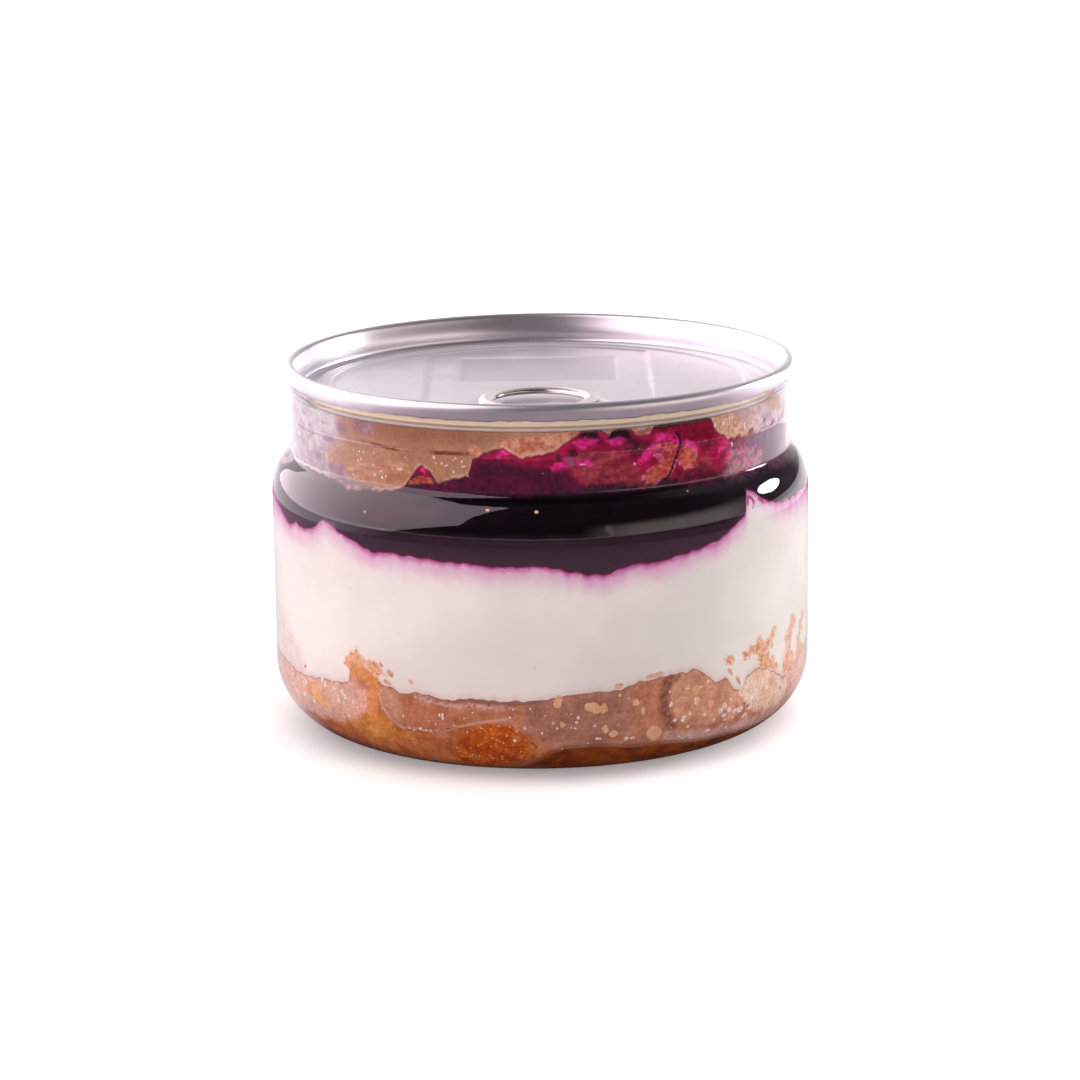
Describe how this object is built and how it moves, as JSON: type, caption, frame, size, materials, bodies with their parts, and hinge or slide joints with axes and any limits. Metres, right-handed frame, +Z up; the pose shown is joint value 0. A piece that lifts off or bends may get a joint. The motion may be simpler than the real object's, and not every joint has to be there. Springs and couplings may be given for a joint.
{
  "type": "blueberry basbousa in a can-jar",
  "caption": "Layered dessert in a shut clear plastic can-jar: syrup cake, cream, blueberry jam with whole berries and cake again, under a seamed aluminium lid with a ring pull.",
  "frame": {"origin": "middle of the jar's foot, on the surface that it stands on", "axes": "+Z up along the jar's axis, the shortest side of the box; -Y towards the front, where the ring pull's nose is; +X to the right"},
  "size_m": [0.0926, 0.0926, 0.063],
  "materials": {
    "clear_jar": "clear, polished",
    "lid_metal": "bright rolled sheet, lacquered gold underneath",
    "ring_metal": "polished",
    "syrup_cake": "moist crumb",
    "cream": "smooth, soft",
    "blueberry_jam": "wet, glossy",
    "berry_skin": "wet skin"
  },
  "bodies": {
    "root": {"jar": "clear_jar", "lid": "lid_metal", "ring_tab": "ring_metal", "basbousa_base": "syrup_cake", "cream": "cream", "blueberry_jam": "blueberry_jam", "basbousa_top": "syrup_cake", "blueberry_1": "berry_skin", "blueberry_2": "berry_skin", "blueberry_3": "berry_skin", "blueberry_4": "berry_skin", "blueberry_5": "berry_skin", "blueberry_6": "berry_skin"}
  },
  "joints": []
}
